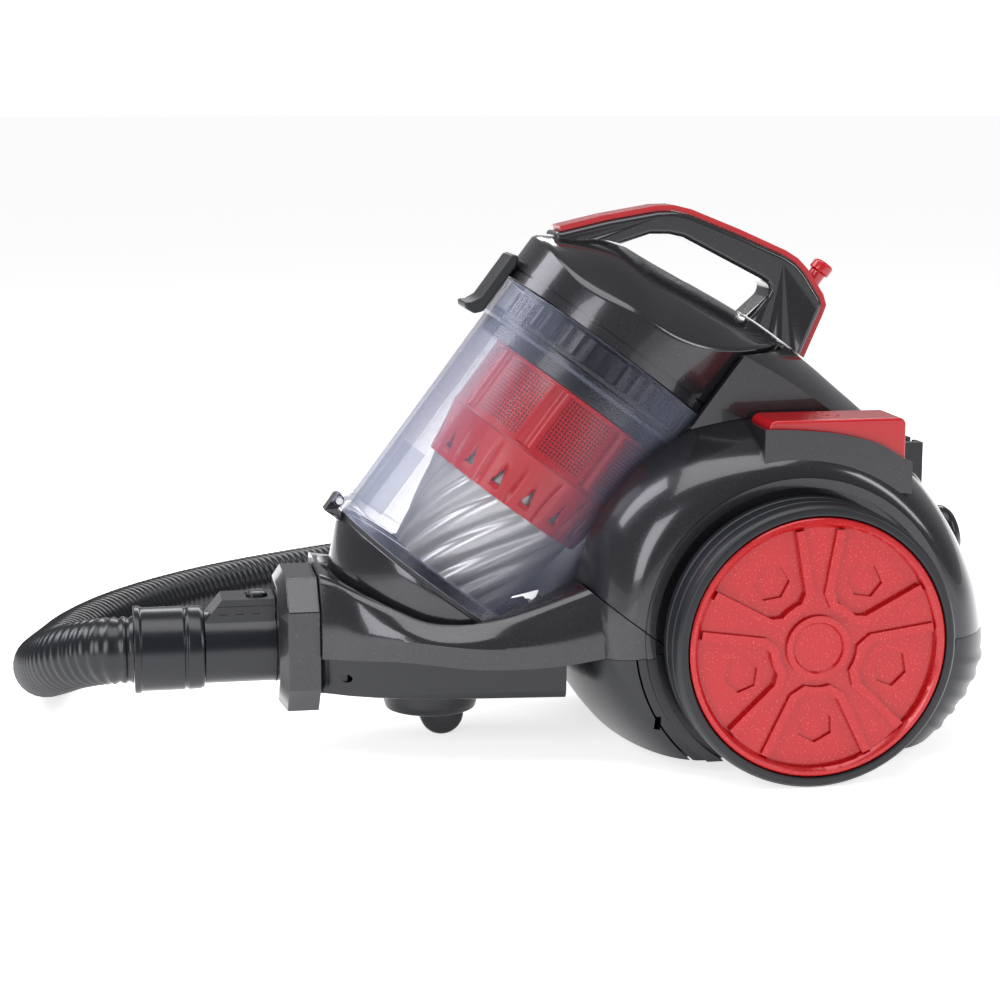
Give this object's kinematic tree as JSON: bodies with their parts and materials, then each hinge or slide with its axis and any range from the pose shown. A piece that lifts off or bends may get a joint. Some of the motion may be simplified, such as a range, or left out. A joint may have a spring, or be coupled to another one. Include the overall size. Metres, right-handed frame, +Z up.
{
  "type": "canister vacuum cleaner",
  "caption": "Bagless canister vacuum cleaner with a tilted clear dust bin, carrying handle, large side wheels, foot pedals and a plug-in suction hose.",
  "frame": {"origin": "on the floor under the middle of the machine, measured without the hose and what is on it", "axes": "+X towards the back, -X towards the hose inlet, +Y towards the far wheel, +Z up"},
  "size_m": [0.6293, 0.6381, 0.3014],
  "materials": {
    "gunmetal": "dark grey gloss with fine metallic flake",
    "black_plastic": "satin, finely grained",
    "red_plastic": "satin red with fine metallic flake",
    "clear_plastic": "clear, faintly blue",
    "silver_plastic": "silver satin",
    "tyre_rubber": "soft, matt",
    "steel": "turned",
    "foam": "open foam",
    "copper": "varnished winding",
    "circuit_board": "green board",
    "hose_plastic": "corrugated, matt"
  },
  "bodies": {
    "machine": {"rear_shell": "gunmetal", "deck_cover": "gunmetal", "base_pan": "black_plastic", "lower_housing": "black_plastic", "top_cover": "gunmetal", "bin_cradle": "gunmetal", "inlet_collar": "gunmetal", "inlet_duct": "black_plastic", "axle_near": "steel", "axle_far": "steel", "motor_can": "steel", "motor_seal": "tyre_rubber", "exhaust_filter": "foam", "switch_board": "circuit_board", "cord_gland": "black_plastic", "parking_bracket": "black_plastic", "reel_post": "black_plastic", "caster_housing": "black_plastic"},
    "near_wheel": {"tyre_near": "tyre_rubber", "wheel_body_near": "black_plastic", "wheel_cap_near": "red_plastic"},
    "far_wheel": {"tyre_far": "tyre_rubber", "wheel_body_far": "black_plastic", "wheel_cap_far": "red_plastic"},
    "caster": {"caster_fork": "black_plastic", "caster_axle": "steel"},
    "caster_roller": {"caster_wheel": "tyre_rubber"},
    "bin": {"bin_cup": "clear_plastic", "lid_pin": "steel", "dust_baffle": "clear_plastic"},
    "bin_head": {"cyclone_head": "gunmetal", "cyclone_flange": "black_plastic", "cyclone_seal": "tyre_rubber", "shroud": "red_plastic", "shroud_cup": "red_plastic", "swirl_cone": "silver_plastic", "filter_frame": "black_plastic", "motor_filter": "foam", "handle": "gunmetal", "handle_stripe": "red_plastic"},
    "lid": {"bin_lid": "gunmetal", "lid_seal": "tyre_rubber"},
    "latch": {"top_latch": "black_plastic"},
    "release": {"release_button": "red_plastic"},
    "power": {"power_pedal": "red_plastic"},
    "rewind": {"rewind_pedal": "red_plastic"},
    "hose": {"hose_connector": "hose_plastic", "hose_cuff": "hose_plastic", "hose_tube": "hose_plastic", "hose_grip": "hose_plastic"},
    "hose_catch": {"connector_button": "hose_plastic"},
    "rotor": {"motor_rotor": "copper"},
    "reel": {"cord_reel": "black_plastic", "wound_lead": "tyre_rubber"}
  },
  "joints": [
    {"name": "near_wheel_spin", "type": "hinge", "parent": "machine", "child": "near_wheel", "pos_m": [0.0714, -0.128, 0.0765], "axis": [0, 1, 0], "continuous": true},
    {"name": "far_wheel_spin", "type": "hinge", "parent": "machine", "child": "far_wheel", "pos_m": [0.0714, 0.128, 0.0765], "axis": [0, 1, 0], "continuous": true},
    {"name": "caster_swivel", "type": "hinge", "parent": "machine", "child": "caster", "pos_m": [-0.1136, 0, 0.03], "axis": [0, 0, 1], "continuous": true},
    {"name": "caster_roll", "type": "hinge", "parent": "caster", "child": "caster_roller", "pos_m": [-0.1076, 0, 0.0125], "axis": [0, 1, 0], "continuous": true},
    {"name": "bin_lift", "type": "slide", "parent": "machine", "child": "bin", "axis": [0.6018, 0, 0.7986], "range_m": [0, 0.3]},
    {"name": "head_lift", "type": "slide", "parent": "bin", "child": "bin_head", "axis": [0.6018, 0, 0.7986], "range_m": [0, 0.15]},
    {"name": "lid_swing", "type": "hinge", "parent": "bin", "child": "lid", "pos_m": [-0.16559, 0, 0.13883], "axis": [0, 1, 0], "range_deg": [0, 80]},
    {"name": "latch_swing", "type": "hinge", "parent": "bin_head", "child": "latch", "pos_m": [-0.06663, 0, 0.27149], "axis": [0, 1, 0], "range_deg": [0, 25], "stiffness_Nm_per_rad": 0.05},
    {"name": "release_press", "type": "slide", "parent": "bin_head", "child": "release", "axis": [-0.6018, 0, -0.7986], "range_m": [0, 0.004], "stiffness_N_per_m": 400, "springref_m": -0.002},
    {"name": "power_press", "type": "slide", "parent": "machine", "child": "power", "axis": [0, 0, -1], "range_m": [0, 0.005], "stiffness_N_per_m": 600, "springref_m": -0.003},
    {"name": "rewind_press", "type": "slide", "parent": "machine", "child": "rewind", "axis": [0, 0, -1], "range_m": [0, 0.005], "stiffness_N_per_m": 600, "springref_m": -0.003},
    {"name": "hose_pull", "type": "slide", "parent": "machine", "child": "hose", "axis": [-1, 0, 0], "range_m": [0, 0.06]},
    {"name": "hose_catch_press", "type": "slide", "parent": "hose", "child": "hose_catch", "axis": [0, 0, -1], "range_m": [0, 0.003], "stiffness_N_per_m": 400, "springref_m": -0.002},
    {"name": "motor_spin", "type": "hinge", "parent": "machine", "child": "rotor", "pos_m": [0.0794, -0.045, 0.0945], "axis": [0, 1, 0], "continuous": true},
    {"name": "reel_spin", "type": "hinge", "parent": "machine", "child": "reel", "pos_m": [0.0834, 0.047, 0.0815], "axis": [0, 1, 0], "continuous": true}
  ],
  "couplings": [
    {"joint": "lid_swing", "follows": "bin_lift", "rad_per_m": 4.65}
  ]
}
